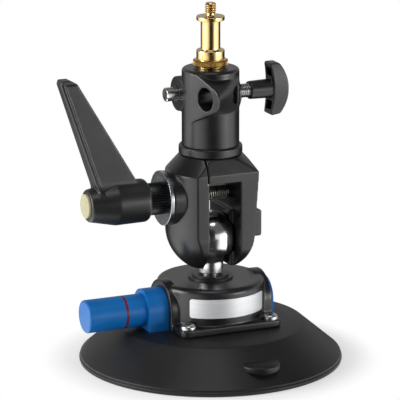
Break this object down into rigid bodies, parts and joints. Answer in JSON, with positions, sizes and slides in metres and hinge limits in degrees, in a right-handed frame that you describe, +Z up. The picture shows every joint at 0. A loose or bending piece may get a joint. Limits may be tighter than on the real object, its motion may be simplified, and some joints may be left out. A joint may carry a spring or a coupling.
{
  "type": "suction-cup camera mount",
  "caption": "Pump suction cup with a ball and fork clamp, ratchet lever, swivelling socket, T-knob and a brass spigot with a camera thread.",
  "frame": {"origin": "centre of the cup's sealing face, on the surface that it is stuck to", "axes": "+Z up along the spigot, -X along the pump towards its plunger and the lever, -Y to the front"},
  "size_m": [0.1681, 0.152, 0.2083],
  "materials": {
    "black_rubber": "satin moulded rubber",
    "black_cast": "fine black powder coat on cast aluminium",
    "blue_plastic": "moulded, slight gloss",
    "red_mark": "painted line",
    "chrome_steel": "polished",
    "bright_steel": "turned, zinc plated",
    "spring_steel": "drawn wire",
    "dark_steel": "black oxide",
    "brass": "turned and polished",
    "black_plastic": "moulded, fine grain",
    "cream_plastic": "moulded cap",
    "silver_label": "bare plate",
    "seal_rubber": "moulded seal"
  },
  "bodies": {
    "base": {"suction_cup": "black_rubber", "cup_plate": "dark_steel", "pump_housing": "black_cast", "housing_screws": "bright_steel", "label_plate": "silver_label", "check_valve": "seal_rubber", "pump_body": "blue_plastic", "valve_body": "blue_plastic", "stud_washer": "dark_steel", "plunger_spring": "spring_steel", "valve_spring": "spring_steel"},
    "plunger": {"plunger": "blue_plastic", "plunger_mark": "red_mark", "piston": "blue_plastic", "piston_seal": "seal_rubber"},
    "release_valve": {"valve_stem": "blue_plastic"},
    "ball_stud": {"ball_stud": "chrome_steel"},
    "fork": {"fixed_jaw": "black_cast", "clamp_nut": "bright_steel", "swivel_retainer": "dark_steel", "clamp_spring": "spring_steel"},
    "moving_jaw": {"moving_jaw": "black_cast"},
    "clamp_screw": {"clamp_washer": "bright_steel", "ratchet_core": "dark_steel", "clamp_bolt": "bright_steel", "lever_screw": "bright_steel", "lever_spring": "spring_steel"},
    "lever": {"clamp_lever": "black_plastic", "lever_cap": "cream_plastic"},
    "socket": {"socket_body": "black_cast", "swivel_ring": "black_cast", "latch_key": "dark_steel", "latch_spring": "spring_steel"},
    "latch": {"latch_pin": "chrome_steel"},
    "spigot": {"spigot": "brass"},
    "t_screw": {"t_screw": "bright_steel"},
    "t_knob": {"t_knob": "black_plastic"}
  },
  "joints": [
    {"name": "plunger_press", "type": "slide", "parent": "base", "child": "plunger", "axis": [1, 0, 0], "range_m": [0, 0.026], "stiffness_N_per_m": 250, "springref_m": -0.01, "deforming": ["plunger_spring"]},
    {"name": "valve_press", "type": "slide", "parent": "base", "child": "release_valve", "axis": [-1, 0, 0], "range_m": [0, 0.0018], "stiffness_N_per_m": 800, "springref_m": -0.002, "deforming": ["valve_spring"]},
    {"name": "fork_pan", "type": "hinge", "parent": "base", "child": "ball_stud", "pos_m": [0, 0, 0.0725], "axis": [0, 0, -1], "continuous": true},
    {"name": "fork_tilt", "type": "hinge", "parent": "ball_stud", "child": "fork", "pos_m": [0, 0, 0.0725], "axis": [1, 0, 0], "range_deg": [-90, 90]},
    {"name": "lever_turn", "type": "hinge", "parent": "moving_jaw", "child": "clamp_screw", "pos_m": [0, 0, 0.098], "axis": [-1, 0, 0], "range_deg": [0, 120]},
    {"name": "jaw_open", "type": "slide", "parent": "fork", "child": "moving_jaw", "axis": [-1, 0, 0], "range_m": [0, 0.00033333], "deforming": ["clamp_spring"]},
    {"name": "lever_lift", "type": "slide", "parent": "clamp_screw", "child": "lever", "axis": [-1, 0, 0], "range_m": [0, 0.004], "stiffness_N_per_m": 800, "springref_m": -0.003, "deforming": ["lever_spring"]},
    {"name": "socket_swivel", "type": "hinge", "parent": "fork", "child": "socket", "pos_m": [0, 0, 0.1554], "axis": [0, 0, 1], "continuous": true},
    {"name": "latch_press", "type": "slide", "parent": "socket", "child": "latch", "axis": [1, 0, 0], "range_m": [0, 0.005], "stiffness_N_per_m": 500, "springref_m": -0.002, "deforming": ["latch_spring"]},
    {"name": "spigot_turn", "type": "hinge", "parent": "socket", "child": "spigot", "pos_m": [0, 0, 0.1554], "axis": [0, 0, 1], "continuous": true},
    {"name": "knob_turn", "type": "hinge", "parent": "t_screw", "child": "t_knob", "pos_m": [0.03, 0, 0.1558], "axis": [1, 0, 0], "range_deg": [0, 1080]},
    {"name": "screw_out", "type": "slide", "parent": "socket", "child": "t_screw", "axis": [1, 0, 0], "range_m": [0, 0.00375]}
  ],
  "couplings": [
    {"joint": "lever_turn", "follows": "jaw_open", "rad_per_m": 6283.2},
    {"joint": "knob_turn", "follows": "screw_out", "rad_per_m": 5026.5}
  ]
}
